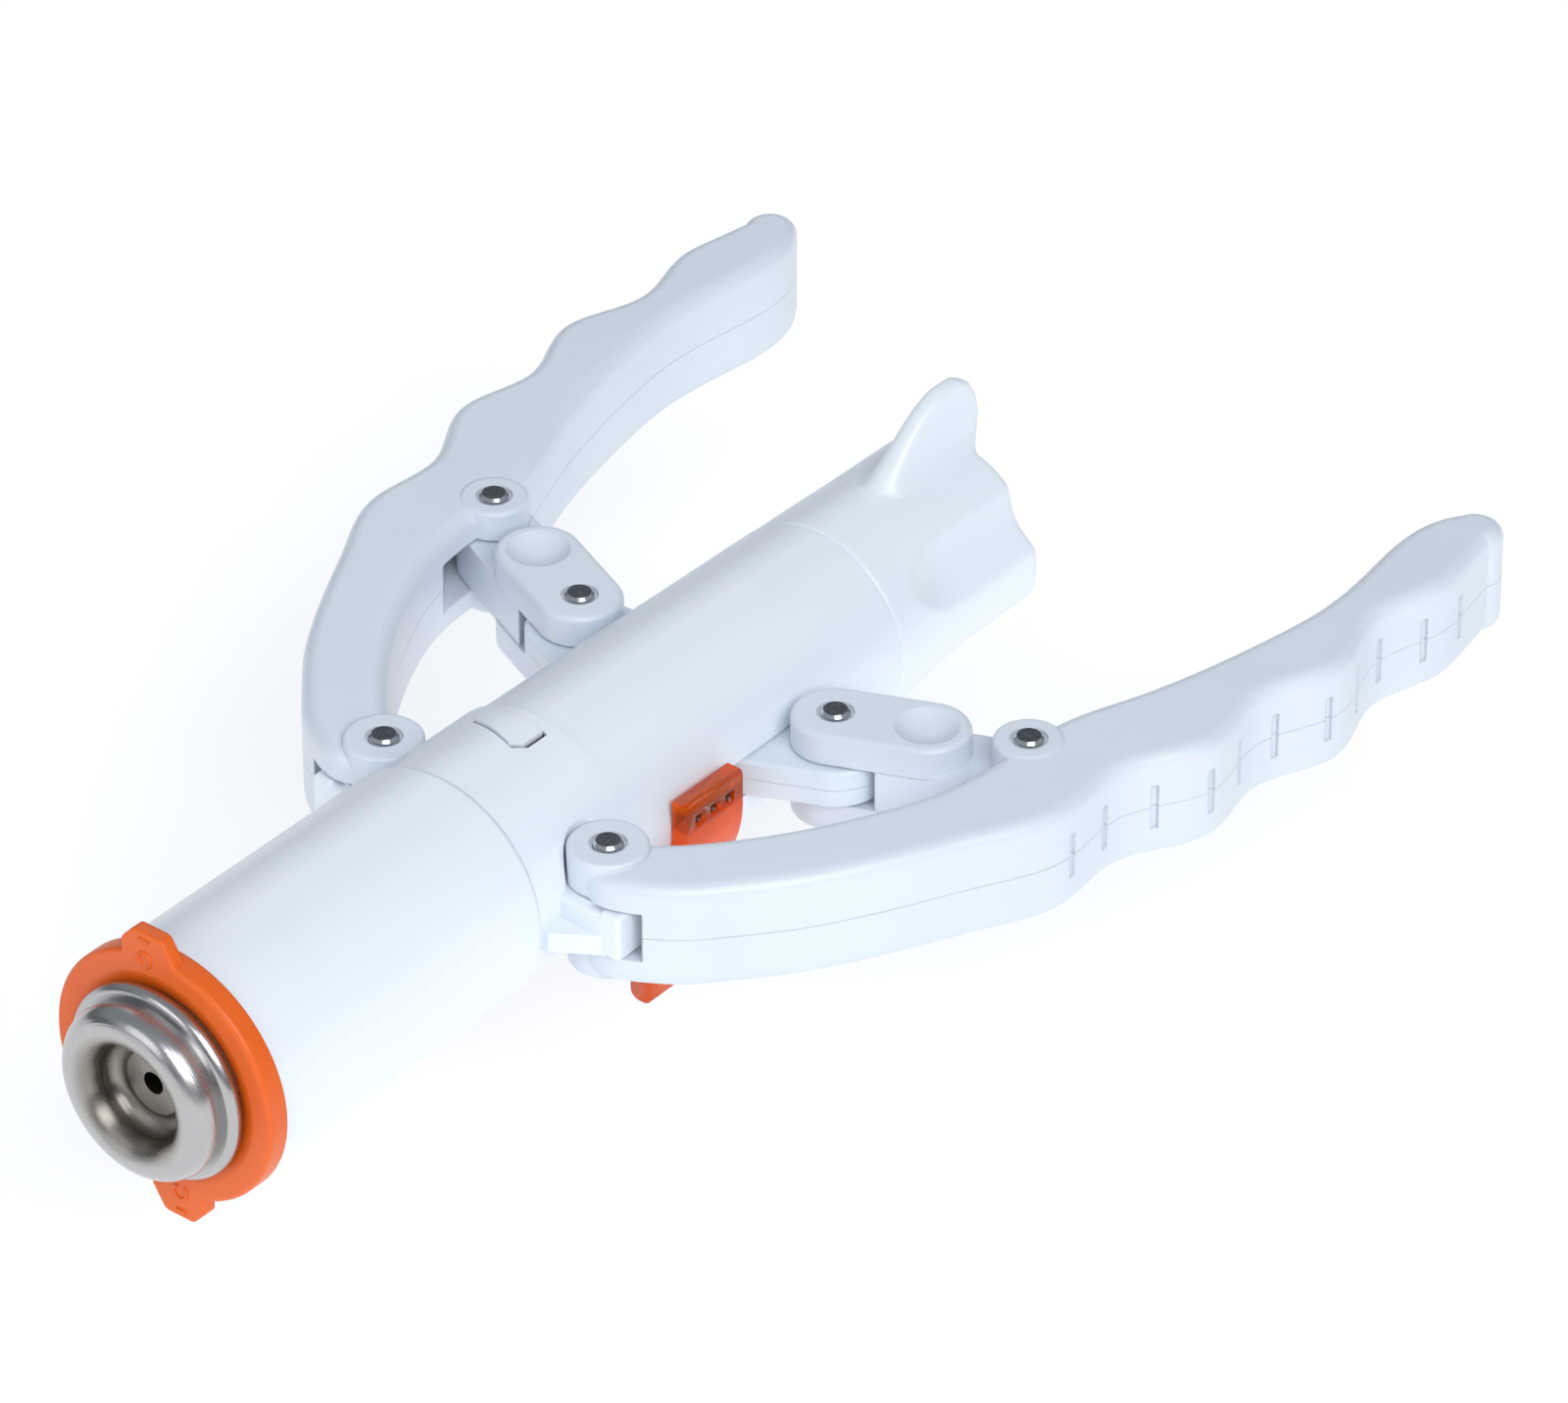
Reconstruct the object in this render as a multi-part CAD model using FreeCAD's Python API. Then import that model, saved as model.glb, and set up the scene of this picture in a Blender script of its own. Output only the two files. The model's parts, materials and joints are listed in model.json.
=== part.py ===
import FreeCAD, Part
import math
import os
from FreeCAD import Vector

# Single-use circumcision stapler, in millimetres.
# The body axis is X, and +X runs from the steel bell to the tail knob.
# +Y is the left handle's side and +Z is up.
# The origin is on the body axis, in the front face of the orange size ring.

# Clearances
RUN_FIT = 0.05       # radial, a pin or rod that turns or slides in its bore
SLIDE_GAP = 0.3      # between mouldings that slide or swing past each other
SEAT_GAP = 0.1       # between fixed mouldings that are nested in each other
END_GAP = 0.5        # left at the end of a stroke

# Firing stroke
STROKE = 7.7         # forward travel of the pusher as the handles close
CLOSE_ANGLE = 12.0   # degrees that each handle swings in
LINK_SWING = 38.5    # degrees that each link swings over that stroke

# Bell and drawbar
BELL_FLANGE_R = 13.1
BELL_FLANGE_THICK = 2.0
BELL_GAP = 0.2           # bell flange to the ring's front face
BELL_RIM_R = 11.7        # outer radius of the rounded front rim
BELL_RIM_BAR_R = 2.6     # radius of the rim's rolled edge
BELL_WAIST_R = 11.4      # where the rim runs into the flange
BELL_LENGTH = 6.2        # front of the rim to the back of the flange
DISH_FLOOR_X = -1.6
DISH_FLOOR_R = 4.2
VENT_R = 1.5
STEM_R = 4.4
STEM_END = 14.0
SPIGOT_R = 2.1
SPIGOT_LENGTH = 6.0
BAR_R = 3.0
BAR_TAIL = 26.5          # past the rear tube's end
BAR_FLAT = 2.6           # half width across the drawbar's two flats

# Size ring, cartridge and cutting parts
RING_R = 17.0
RING_THICK = 3.0
RING_EDGE = 0.7
RING_RECESS_R = 14.2     # shallow recess behind the bell's flange
RING_RECESS = 0.5
TAB_LEFT = 5.9           # the upper tab's two flanks, to the left and right of the body axis
TAB_RIGHT = -2.6
TAB_TIP = 20.0           # the tab's top above the body axis
TAB_THICK = 1.8
TAB_SLANT = 2.0          # how far each flank leans in at the top
TAB_ROUND = 1.2
NOSE_R = 12.0
NOSE_FRONT = 0.9
CARTRIDGE_STEP_X = 6.0
CARTRIDGE_END = 16.0
CARTRIDGE_BORE_R = 9.6
STAPLE_COUNT = 18
STAPLE_CIRCLE_R = 10.8
STAPLE_WIDTH = 2.2
STAPLE_HEIGHT = 2.6
STAPLE_WIRE = 0.3
KNIFE_R = 9.2
KNIFE_WALL = 0.4
WASHER_R = 9.4
WASHER_THICK = 2.0
PUSH_PLATE_THICK = 5.0

# Housing
SLEEVE_R = 16.0
SLEEVE_WALL = 1.3
SLEEVE_END = 51.0
SLEEVE_ROUND = 1.1
COLLAR_R = 15.4
COLLAR_END = 68.4
COLLAR_SPIGOT = 7.0
TUBE_FRONT_R = 14.9
TUBE_REAR_R = 14.2
TUBE_BORE_R = 12.4
TUBE_END = 122.5
TUBE_SPIGOT = 7.6
SPIGOT_WALL = 0.9
SPIGOT_HALF_WIDTH = 9.0

# Twist lock on top of the collar
LOCK_LEFT = 5.6          # the lug's two ends, to the left and right of the body axis
LOCK_RIGHT = -3.0
LOCK_TAIL_FRONT = 63.9   # its front edge slants from here at the left end
LOCK_NOSE_FRONT = 61.6   # to here, beside the right end
LOCK_BACK = 66.3
LOCK_NOSE = 1.3          # cut off the nose's corner
LOCK_PROUD = 0.35

# Pins and pivots, as seen from above on the left side
PIN_R = 1.9
PIN_CHAMFER = 0.35
PIN_PROUD = 0.4          # how far each end stands above its boss
PIN_SEAT_R = 2.35
PIN_SEAT_DEPTH = 0.45
FRONT_PIVOT = Vector(60.8, 17.9, 0)
LUG_PIVOT = Vector(101.3, 20.6, 0)
LINK_PIVOT = Vector(111.2, 43.1, 0)

# Ears on the collar
EAR_HALF = 3.2
EAR_R = 5.3
EAR_WALL_TOP = 2.7       # upright wall between collar and stop block
EAR_GUSSET_TOP = -0.4    # thin three-cornered plate ahead of the wall
EAR_FRONT = 54.7
EAR_GUSSET_ROOT = 16.3   # where the plate's front edge meets the collar, from the body axis
EAR_STOP_IN = 4.5        # stop block's inner face from the pivot line
EAR_STOP_OUT = 6.6
EAR_STOP_BACK = 0.8      # block's rear face ahead of the pivot
EAR_ROUND = 0.6

# Handles
HANDLE_HALF = 7.5
HANDLE_EDGE = 2.0
KNUCKLE_R = 5.1
KNUCKLE_RISE = 1.0
FORK_R = 9.1             # slot round the front pivot that takes the ear
LINK_BOSS_R = 4.5
LINK_BOSS_RISE = 0.2
GRIP_FIRST = 102.0       # first finger crest
GRIP_PITCH = 23.3
GRIP_CRESTS = 4
GRIP_DEPTH = 3.1
GROOVE_FIRST = 103.5     # first of the small grooves across the grip's outer face
GROOVE_PITCH = 7.2
GROOVE_COUNT = 11
GROOVE_WIDTH = 1.0
GROOVE_HALF = 3.2        # half length of each groove
GROOVE_DEPTH = 0.5
BACK_PEAK_X = 155.0
BACK_PEAK_Y = 63.3
BACK_BOW = 0.00263
HANDLE_TIP = 188.4

# Links
LINK_R = 5.6
LINK_PLATE = 11.7        # length of the fork plates from the lug pin
LINK_PLATE_HALF = 7.2
LINK_THROAT_R = 8.4
TONGUE_HALF = 3.3
TONGUE_R = 5.0
TONGUE_PLAY = 1.2        # radial play of the handle pin in the tongue
LINK_EDGE = 0.8
DIMPLE_R = 4.1
DIMPLE_DEPTH = 1.5

# Pusher with its lugs
PUSH_TUBE_R = 12.1
PUSH_TUBE_WALL = 2.2
LUG_HALF = 2.6
LUG_R = 7.0
LUG_FRONT = 90.2
LUG_EDGE = 0.5

# Knob and what holds it
KNOB_GAP = 0.3
KNOB_BAND_R = 14.1
KNOB_BAND = 11.5         # these lengths run back from the rear tube's end
KNOB_LENGTH = 30.5
KNOB_REAR_R = 13.9       # at the rear rim
KNOB_ROUND = 1.2
FLUTE_COUNT = 8          # the fin takes the place of the top one
FLUTE_R = 24.0           # so wide that neighbours meet in a ridge
FLUTE_FLOOR_R = 12.0     # from the body axis
FLUTE_BACK = 17.6
FIN_BACK = 11.6
FIN_TIP_HALF = 1.0       # half thickness at the tip, above the blend and where it meets the knob
FIN_NECK_HALF = 2.2
FIN_FOOT_HALF = 6.5
FIN_BLEND = 3.2          # height of the blend above the knob
FIN_TIP_R = 23.4
FIN_EDGE = 0.5
KNOB_SPIGOT_R = 11.4
KNOB_SPIGOT = 6.0
NUT_R = 6.0
NUT_LENGTH = 10.0
CLIP_THICK = 1.0
CLIP_GROOVE = 0.8
BUSH_LENGTH = 6.0
THRUST_THICK = 0.8

# Safety catch
CATCH_FRONT = 76.3
CATCH_LENGTH = 10.7
CATCH_WALL = 2.4
CATCH_TOP = 4.8
CATCH_ROUND = 0.7
CATCH_LEG_OUT = 11.9     # outer faces of the two legs, from the body axis
CATCH_LEG_THICK = 3.4
CATCH_LEG_LEAN = 0.4     # how far they lean in towards the bottom
CATCH_BOTTOM = -27.9
POCKET_FIRST = 2.4       # first pocket's middle behind the catch's front
POCKET_PITCH = 2.9
POCKET_COUNT = 3
POCKET_SIZE = 1.7
POCKET_LOW = 1.1         # its lower edge above the body axis
POCKET_DEPTH = 0.8


def cylinder_x(radius, start, end):
    return Part.makeCylinder(radius, end - start, Vector(start, 0, 0), Vector(1, 0, 0))


def cylinder_z(radius, low, high, centre):
    return Part.makeCylinder(radius, high - low, Vector(centre.x, centre.y, low))


def tube_x(outer, inner, start, end):
    return cylinder_x(outer, start, end).cut(cylinder_x(inner, start, end))


def block(x0, x1, y0, y1, z0, z1):
    return Part.makeBox(x1 - x0, y1 - y0, z1 - z0, Vector(x0, y0, z0))


def revolved(points):
    """Turn a closed outline of (x, radius) points about the body axis."""
    corners = [Vector(x, 0, r) for x, r in points]
    face = Part.Face(Part.makePolygon(corners + corners[:1]))
    return face.revolve(Vector(0, 0, 0), Vector(1, 0, 0), 360)


def extruded(wire, low, high):
    face = Part.Face(wire)
    face.translate(Vector(0, 0, low))
    return face.extrude(Vector(0, 0, high - low))


def polygon_plate(points, low, high):
    corners = [Vector(x, y, 0) for x, y in points]
    return extruded(Part.makePolygon(corners + corners[:1]), low, high)


def bar_plate(start, end, radius, low, high, end_radius=None):
    """A flat bar with round ends, whose two end radii may differ."""
    far = radius if end_radius is None else end_radius
    along = end - start
    length = along.Length
    turn = math.atan2(along.y, along.x)
    lean = math.acos((radius - far) / length)
    sides = []
    for side in (1, -1):
        normal = Vector(math.cos(turn + side * lean), math.sin(turn + side * lean), 0)
        sides.append((start + normal * radius, end + normal * far))
    points = [sides[0][0], sides[0][1], sides[1][1], sides[1][0]]
    web = extruded(Part.makePolygon(points + points[:1]), low, high)
    ends = [cylinder_z(radius, low, high, start), cylinder_z(far, low, high, end)]
    return web.multiFuse(ends).removeSplitter()


def mirror_y(shape):
    return shape.mirror(Vector(0, 0, 0), Vector(0, 1, 0))


def mirror_z(shape):
    return shape.mirror(Vector(0, 0, 0), Vector(0, 0, 1))


def edges_at_z(shape, level):
    """Edges that lie wholly in one horizontal plane."""
    return [e for e in shape.Edges
            if abs(e.BoundBox.ZMin - level) < 1e-4 and abs(e.BoundBox.ZMax - level) < 1e-4]


def edges_at_x(shape, level, radius):
    """Round edges about the body axis, in one plane across it."""
    found = []
    for edge in shape.Edges:
        box = edge.BoundBox
        flat = abs(box.XMin - level) < 1e-4 and abs(box.XMax - level) < 1e-4
        if flat and abs(box.ZMax - radius) < 1e-3:
            found.append(edge)
    return found


def point_on(centre, angle, radius):
    return Vector(centre.x + radius * math.cos(angle), centre.y + radius * math.sin(angle), 0)


# Bell, drawbar and cutting washer

BAR_END = TUBE_END + BAR_TAIL
BELL_BACK = -BELL_GAP
BELL_FRONT = BELL_BACK - BELL_LENGTH


def glans_bell():
    """Dished steel bell with a rolled front rim, an anvil flange and a hollow stem."""
    crest_x = BELL_FRONT + BELL_RIM_BAR_R
    crest_r = BELL_RIM_R - BELL_RIM_BAR_R
    flange_front = BELL_BACK - BELL_FLANGE_THICK
    dish_side_r = crest_r - BELL_RIM_BAR_R

    def at(x, r):
        return Vector(x, 0, r)

    rim_outer = Part.Arc(at(BELL_FRONT, crest_r),
                         at(crest_x - BELL_RIM_BAR_R * 0.7, crest_r + BELL_RIM_BAR_R * 0.72),
                         at(crest_x, BELL_RIM_R)).toShape()
    rim_inner = Part.Arc(at(crest_x, dish_side_r),
                         at(crest_x - BELL_RIM_BAR_R * 0.7, crest_r - BELL_RIM_BAR_R * 0.72),
                         at(BELL_FRONT, crest_r)).toShape()
    waist = Part.makeLine(at(crest_x, BELL_RIM_R), at(flange_front, BELL_WAIST_R))
    flange_mid = flange_front + BELL_FLANGE_THICK / 2
    flange = Part.Arc(at(flange_front, BELL_FLANGE_R - 0.9), at(flange_mid - 0.2, BELL_FLANGE_R),
                      at(BELL_BACK, BELL_FLANGE_R - 0.3)).toShape()
    dish = Part.Arc(at(DISH_FLOOR_X, DISH_FLOOR_R),
                    at((DISH_FLOOR_X + crest_x) / 2 + 0.9, (DISH_FLOOR_R + dish_side_r) / 2 + 0.7),
                    at(crest_x, dish_side_r)).toShape()
    lines = [
        (at(flange_front, BELL_WAIST_R), at(flange_front, BELL_FLANGE_R - 0.9)),
        (at(BELL_BACK, BELL_FLANGE_R - 0.3), at(BELL_BACK, STEM_R)),
        (at(BELL_BACK, STEM_R), at(STEM_END, STEM_R)),
        (at(STEM_END, STEM_R), at(STEM_END, SPIGOT_R)),
        (at(STEM_END, SPIGOT_R), at(STEM_END + SPIGOT_LENGTH, SPIGOT_R)),
        (at(STEM_END + SPIGOT_LENGTH, SPIGOT_R), at(STEM_END + SPIGOT_LENGTH, VENT_R)),
        (at(STEM_END + SPIGOT_LENGTH, VENT_R), at(DISH_FLOOR_X, VENT_R)),
        (at(DISH_FLOOR_X, VENT_R), at(DISH_FLOOR_X, DISH_FLOOR_R)),
    ]
    edges = [rim_outer, rim_inner, waist, flange, dish]
    edges += [Part.LineSegment(a, b).toShape() for a, b in lines]
    face = Part.Face(Part.Wire(Part.__sortEdges__(edges)))
    return face.revolve(Vector(0, 0, 0), Vector(1, 0, 0), 360)


def drawbar():
    """Rod with two flats that pulls the bell back; its rear end runs in the knob's nut."""
    rod = cylinder_x(BAR_R, STEM_END, BAR_END)
    for side in (1, -1):
        far = side * 2 * BAR_R
        near = side * BAR_FLAT
        rod = rod.cut(block(STEM_END, BAR_END, -BAR_R, BAR_R, min(near, far), max(near, far)))
    socket = cylinder_x(SPIGOT_R, STEM_END, STEM_END + SPIGOT_LENGTH)
    vent = cylinder_x(VENT_R, STEM_END + SPIGOT_LENGTH, STEM_END + SPIGOT_LENGTH + 4)
    return rod.cut(socket).cut(vent)


def cutting_washer():
    """Plastic washer behind the bell's flange that the knife cuts into."""
    return tube_x(WASHER_R, STEM_R, BELL_BACK, BELL_BACK + WASHER_THICK)


# Size ring, cartridge, staples, knife and push plate

WASHER_BACK = BELL_BACK + WASHER_THICK
KNIFE_FRONT = WASHER_BACK + END_GAP + STROKE
STAPLE_FRONT = BELL_BACK + END_GAP + STROKE
PLATE_FRONT = CARTRIDGE_END + END_GAP + STROKE
PLATE_BACK = PLATE_FRONT + PUSH_PLATE_THICK
SLEEVE_BORE_R = SLEEVE_R - SLEEVE_WALL


def ring_tab():
    """Low finger tab, flush with the ring's front face, standing along +Z."""
    root = RING_R - 3.0
    bend = RING_R + 0.8
    corners = [(TAB_LEFT, root), (TAB_LEFT, bend), (TAB_LEFT - TAB_SLANT, TAB_TIP),
               (TAB_RIGHT + TAB_SLANT, TAB_TIP), (TAB_RIGHT, bend - 1), (TAB_RIGHT, root)]
    points = [Vector(0, y, z) for y, z in corners]
    tab = Part.Face(Part.makePolygon(points + points[:1])).extrude(Vector(TAB_THICK, 0, 0))
    upright = [e for e in tab.Edges if e.BoundBox.XLength > TAB_THICK - 0.01 and e.BoundBox.ZMin > root + 1]
    tab = tab.makeFillet(TAB_ROUND, upright)
    front = [e for e in tab.Edges if e.BoundBox.XMax < 0.01 and e.BoundBox.ZMax > root + 1]
    return tab.makeFillet(RING_EDGE / 2, front)


def size_ring():
    """Orange ring that closes the sleeve's mouth, with two tabs to grip it by."""
    ring = cylinder_x(RING_R, 0, RING_THICK)
    ring = ring.makeFillet(RING_EDGE, edges_at_x(ring, 0, RING_R))
    tab = ring_tab()
    other = tab.copy()
    other.rotate(Vector(0, 0, 0), Vector(1, 0, 0), 180)
    ring = ring.multiFuse([tab, other]).removeSplitter()
    spigot = cylinder_x(SLEEVE_BORE_R - SEAT_GAP, RING_THICK, CARTRIDGE_STEP_X - SEAT_GAP)
    recess = revolved([(0, 0), (0, RING_RECESS_R), (RING_RECESS, NOSE_R), (RING_RECESS, 0)])
    return ring.fuse(spigot).cut(cylinder_x(NOSE_R + SEAT_GAP, 0, CARTRIDGE_STEP_X)).cut(recess)


def staple_angles():
    return [360.0 * i / STAPLE_COUNT for i in range(STAPLE_COUNT)]


def round_the_axis(shape, angle):
    turned = shape.copy()
    turned.rotate(Vector(0, 0, 0), Vector(1, 0, 0), angle)
    return turned


def staple_cartridge():
    """Ring with one slot through it for each staple."""
    body = revolved([(NOSE_FRONT, CARTRIDGE_BORE_R), (NOSE_FRONT, NOSE_R), (CARTRIDGE_STEP_X, NOSE_R),
                     (CARTRIDGE_STEP_X, SLEEVE_BORE_R - SEAT_GAP),
                     (CARTRIDGE_END, SLEEVE_BORE_R - SEAT_GAP), (CARTRIDGE_END, CARTRIDGE_BORE_R)])
    half = STAPLE_WIDTH / 2 + SEAT_GAP
    deep = STAPLE_WIRE + SEAT_GAP
    slot = block(NOSE_FRONT, CARTRIDGE_END, -half, half,
                 STAPLE_CIRCLE_R - deep, STAPLE_CIRCLE_R + deep)
    return body.cut(Part.makeCompound([round_the_axis(slot, a) for a in staple_angles()]))


def staples():
    """U-shaped wire staples, legs forward, one in each slot."""
    half = STAPLE_WIDTH / 2
    low = STAPLE_CIRCLE_R - STAPLE_WIRE / 2
    high = STAPLE_CIRCLE_R + STAPLE_WIRE / 2
    back = STAPLE_FRONT + STAPLE_HEIGHT
    outer = block(STAPLE_FRONT, back, -half, half, low, high)
    inner = block(STAPLE_FRONT, back - STAPLE_WIRE, STAPLE_WIRE - half, half - STAPLE_WIRE, low, high)
    staple = outer.cut(inner)
    return Part.makeCompound([round_the_axis(staple, a) for a in staple_angles()])


def staple_pusher():
    """Push plate with one driver for each staple and a seat for the knife."""
    plate = tube_x(SLEEVE_BORE_R - SLIDE_GAP, BAR_R + 2 * SLIDE_GAP, PLATE_FRONT, PLATE_BACK)
    seat = tube_x(KNIFE_R, KNIFE_R - KNIFE_WALL, PLATE_FRONT, PLATE_FRONT + 2)
    half = STAPLE_WIDTH / 2 - SEAT_GAP / 2
    driver = block(STAPLE_FRONT + STAPLE_HEIGHT, PLATE_FRONT, -half, half,
                   STAPLE_CIRCLE_R - STAPLE_WIRE, STAPLE_CIRCLE_R + STAPLE_WIRE)
    drivers = [round_the_axis(driver, a) for a in staple_angles()]
    return plate.cut(seat).multiFuse(drivers)


def ring_knife():
    """Thin steel tube, bevelled to an edge at its front."""
    inner = KNIFE_R - KNIFE_WALL
    return revolved([(KNIFE_FRONT, inner), (KNIFE_FRONT, inner + 0.05), (KNIFE_FRONT + 1.2, KNIFE_R),
                     (PLATE_FRONT + 2, KNIFE_R), (PLATE_FRONT + 2, inner)])


# Pusher tube with the two lugs that the links drive

BUSH_FRONT = TUBE_END - KNOB_SPIGOT - THRUST_THICK - BUSH_LENGTH
PUSH_TUBE_END = BUSH_FRONT - END_GAP


def lug_outline():
    """Left lug as seen from above: a straight flank, a round nose and a straight back."""
    back = LUG_PIVOT.x + LUG_R
    tangent = point_on(LUG_PIVOT, math.radians(165), LUG_R)
    nose = Part.Arc(tangent, point_on(LUG_PIVOT, math.radians(80), LUG_R),
                    Vector(back, LUG_PIVOT.y, 0)).toShape()
    root = PUSH_TUBE_R - 1.5
    corners = [Vector(back, LUG_PIVOT.y, 0), Vector(back, root, 0), Vector(LUG_FRONT, root, 0),
               Vector(LUG_FRONT, root + 2.5, 0), tangent]
    lines = [Part.makeLine(a, b) for a, b in zip(corners, corners[1:])]
    return Part.Wire(Part.__sortEdges__([nose] + lines))


def pusher_upper():
    """Upper half of the pusher tube, with the upper half of each lug."""
    shell = tube_x(PUSH_TUBE_R, PUSH_TUBE_R - PUSH_TUBE_WALL, PLATE_BACK, PUSH_TUBE_END)
    shell = shell.common(block(PLATE_BACK, PUSH_TUBE_END, -PUSH_TUBE_R, PUSH_TUBE_R, 0, PUSH_TUBE_R))
    lug = extruded(lug_outline(), 0, LUG_HALF)
    lug = lug.makeFillet(LUG_EDGE, edges_at_z(lug, LUG_HALF))
    lug = lug.cut(cylinder_z(PIN_R + RUN_FIT, 0, LUG_HALF, LUG_PIVOT))
    bore = cylinder_x(PUSH_TUBE_R - PUSH_TUBE_WALL, PLATE_BACK, PUSH_TUBE_END)
    return shell.multiFuse([lug, mirror_y(lug)]).cut(bore)


# Housing

def tube_radius(x):
    """Outer radius of the slightly tapered rear tube."""
    share = (x - COLLAR_END) / (TUBE_END - COLLAR_END)
    return TUBE_FRONT_R + (TUBE_REAR_R - TUBE_FRONT_R) * share


def front_sleeve():
    """Thin white sleeve round the cartridge, with a softly rounded rear end."""
    outer = cylinder_x(SLEEVE_R, RING_THICK + SEAT_GAP, SLEEVE_END)
    outer = outer.makeFillet(SLEEVE_ROUND, edges_at_x(outer, SLEEVE_END, SLEEVE_R))
    return outer.cut(cylinder_x(SLEEVE_BORE_R, RING_THICK, SLEEVE_END))


def ear():
    """Left ear: a hub for the front pin, a wall and plate ahead of it, and a stop block."""
    pivot = FRONT_PIVOT
    root = COLLAR_R - 2.5
    stop_in = pivot.y + EAR_STOP_IN
    stop_out = pivot.y + EAR_STOP_OUT
    hub = cylinder_z(EAR_R, -EAR_HALF, EAR_HALF, pivot)
    neck = block(EAR_FRONT + 2, pivot.x + EAR_R, root, pivot.y, -EAR_HALF, EAR_HALF)
    wall = block(EAR_FRONT, pivot.x, root, stop_in, -EAR_HALF, EAR_WALL_TOP)
    wall = wall.makeFillet(EAR_ROUND, [e for e in edges_at_z(wall, EAR_WALL_TOP)
                                       if e.BoundBox.XMax < EAR_FRONT + 0.1])
    gusset = polygon_plate([(SLEEVE_END + SLIDE_GAP, root), (SLEEVE_END + SLIDE_GAP, EAR_GUSSET_ROOT),
                            (EAR_FRONT + EAR_ROUND, stop_in + 0.3), (EAR_FRONT + EAR_ROUND, root)],
                           -EAR_HALF, EAR_GUSSET_TOP)
    stop = block(EAR_FRONT, pivot.x - EAR_STOP_BACK, stop_in - 1, stop_out, -EAR_HALF, EAR_HALF)
    stop = stop.makeFillet(EAR_ROUND, stop.Edges)
    tie = block(EAR_FRONT + 1, pivot.x - EAR_STOP_BACK - 0.8, pivot.y, stop_out - 0.8,
                -EAR_HALF + 0.2, EAR_WALL_TOP - 0.2)
    shape = hub.multiFuse([neck, wall, gusset, stop, tie]).removeSplitter()
    return shape.cut(cylinder_z(PIN_R, -EAR_HALF, EAR_HALF, pivot))


def lock_plan(inner, outer, grow):
    """The twist lock's lug, or with grow its window: a piece of a ring, cut to a slanted plan."""
    left = LOCK_LEFT + grow
    right = LOCK_RIGHT - 2 * grow
    corners = [(LOCK_BACK + grow, left), (LOCK_TAIL_FRONT - grow, left),
               (LOCK_NOSE_FRONT - grow, right + LOCK_NOSE), (LOCK_NOSE_FRONT + LOCK_NOSE, right),
               (LOCK_BACK + grow, right)]
    ring = tube_x(outer, inner, LOCK_NOSE_FRONT - 1, LOCK_BACK + 1)
    return ring.common(polygon_plate(corners, 0, outer))


def front_collar():
    """Collar between sleeve and tube, with the ears that carry the handles."""
    ring = tube_x(COLLAR_R, PUSH_TUBE_R + SLIDE_GAP, SLEEVE_END, COLLAR_END)
    spigot = tube_x(SLEEVE_BORE_R - SEAT_GAP, PUSH_TUBE_R + SLIDE_GAP,
                    SLEEVE_END - COLLAR_SPIGOT, SLEEVE_END)
    left = ear()
    shape = ring.multiFuse([spigot, left, mirror_y(left)])
    for z0, z1 in ((EAR_HALF, HANDLE_HALF + 4), (-HANDLE_HALF - 4, -EAR_HALF)):
        relief = cylinder_z(KNUCKLE_R + SLIDE_GAP, z0, z1, FRONT_PIVOT)
        shape = shape.cut(relief).cut(mirror_y(relief))
    wide = SPIGOT_HALF_WIDTH + SEAT_GAP
    seat = cylinder_x(TUBE_BORE_R + SPIGOT_WALL + SEAT_GAP,
                      COLLAR_END - TUBE_SPIGOT - SEAT_GAP, COLLAR_END)
    seat = seat.common(block(0, COLLAR_END, -wide, wide, -SLEEVE_R, SLEEVE_R))
    window = lock_plan(TUBE_BORE_R, COLLAR_R + 1, SLIDE_GAP)
    return shape.cut(seat).cut(window).removeSplitter()


def rear_tube():
    """Tapered tube with a slot on each side for the pusher's lugs."""
    body = revolved([(COLLAR_END, TUBE_BORE_R), (COLLAR_END, TUBE_FRONT_R),
                     (TUBE_END, TUBE_REAR_R), (TUBE_END, TUBE_BORE_R)])
    spigot = tube_x(TUBE_BORE_R + SPIGOT_WALL, TUBE_BORE_R, COLLAR_END - TUBE_SPIGOT, COLLAR_END)
    wide = SPIGOT_HALF_WIDTH
    spigot = spigot.common(block(0, COLLAR_END, -wide, wide, -SLEEVE_R, SLEEVE_R))
    lock = lock_plan(TUBE_BORE_R, COLLAR_R + LOCK_PROUD, 0)
    slot_front = LUG_FRONT - STROKE - END_GAP
    slot_end = LUG_PIVOT.x + LUG_R + SLIDE_GAP
    slot = block(slot_front, slot_end, -SLEEVE_R, SLEEVE_R,
                 -LUG_HALF - SLIDE_GAP, LUG_HALF + SLIDE_GAP)
    clip_x = clip_front()
    groove = cylinder_x(TUBE_BORE_R + CLIP_GROOVE, clip_x, clip_x + CLIP_THICK)
    shape = body.cut(slot).multiFuse([spigot, lock])
    return shape.cut(groove).removeSplitter()


# Handles

def back_line(x):
    """Bowed line that the finger crests touch."""
    return BACK_PEAK_Y - BACK_BOW * (x - BACK_PEAK_X) ** 2


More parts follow.
